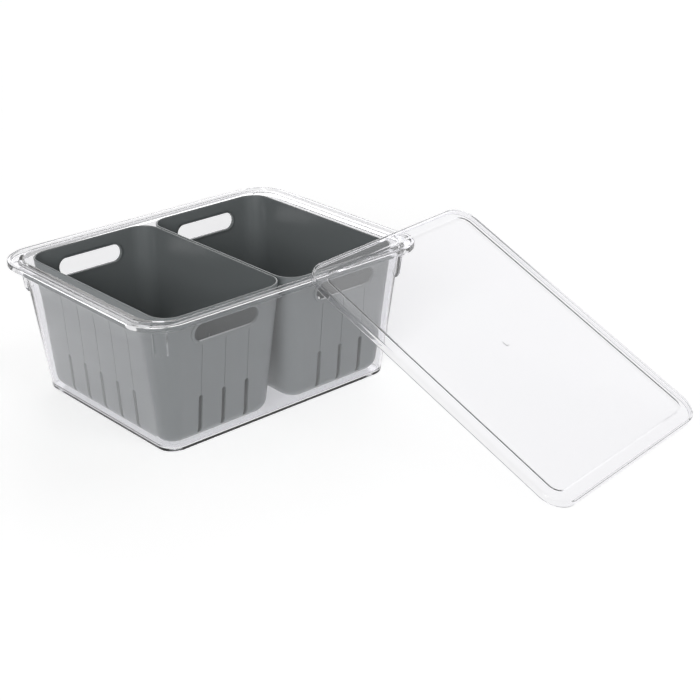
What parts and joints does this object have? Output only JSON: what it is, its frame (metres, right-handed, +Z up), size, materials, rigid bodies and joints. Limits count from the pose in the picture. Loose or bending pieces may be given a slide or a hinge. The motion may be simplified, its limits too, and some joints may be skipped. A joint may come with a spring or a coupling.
{
  "type": "fridge bin",
  "caption": "Clear lidded storage bin with side-by-side lift-out drain baskets, shown open with its loose lid leaning on the rim.",
  "frame": {"origin": "centre of the outer bin's flat underside", "axes": "+X along the bin's long side, from the left basket to the right one; +Y from the side the lid leans on to the back; +Z up"},
  "size_m": [0.4254, 0.5101, 0.1421],
  "materials": {
    "clear_plastic": "clear, colourless, glossy moulded plastic with a faint violet tint in its edges",
    "grey_plastic": "neutral grey satin moulded plastic, a little glossier on the rims"
  },
  "bodies": {
    "outer_bin": {"outer_bin": "clear_plastic"},
    "left_basket": {"left_basket": "grey_plastic"},
    "right_basket": {"right_basket": "grey_plastic"},
    "lid": {"lid": "clear_plastic"}
  },
  "joints": [
    {"name": "left_basket_lift", "type": "slide", "parent": "outer_bin", "child": "left_basket", "axis": [0, 0, 1], "range_m": [0, 0.14]},
    {"name": "right_basket_lift", "type": "slide", "parent": "outer_bin", "child": "right_basket", "axis": [0, 0, 1], "range_m": [0, 0.14]},
    {"name": "lid_lift", "type": "slide", "parent": "outer_bin", "child": "lid", "axis": [0, 0, 1], "range_m": [0, 0.14]}
  ],
  "couplings": [
    {"joint": "right_basket_lift", "follows": "lid_lift", "ratio": 1}
  ]
}
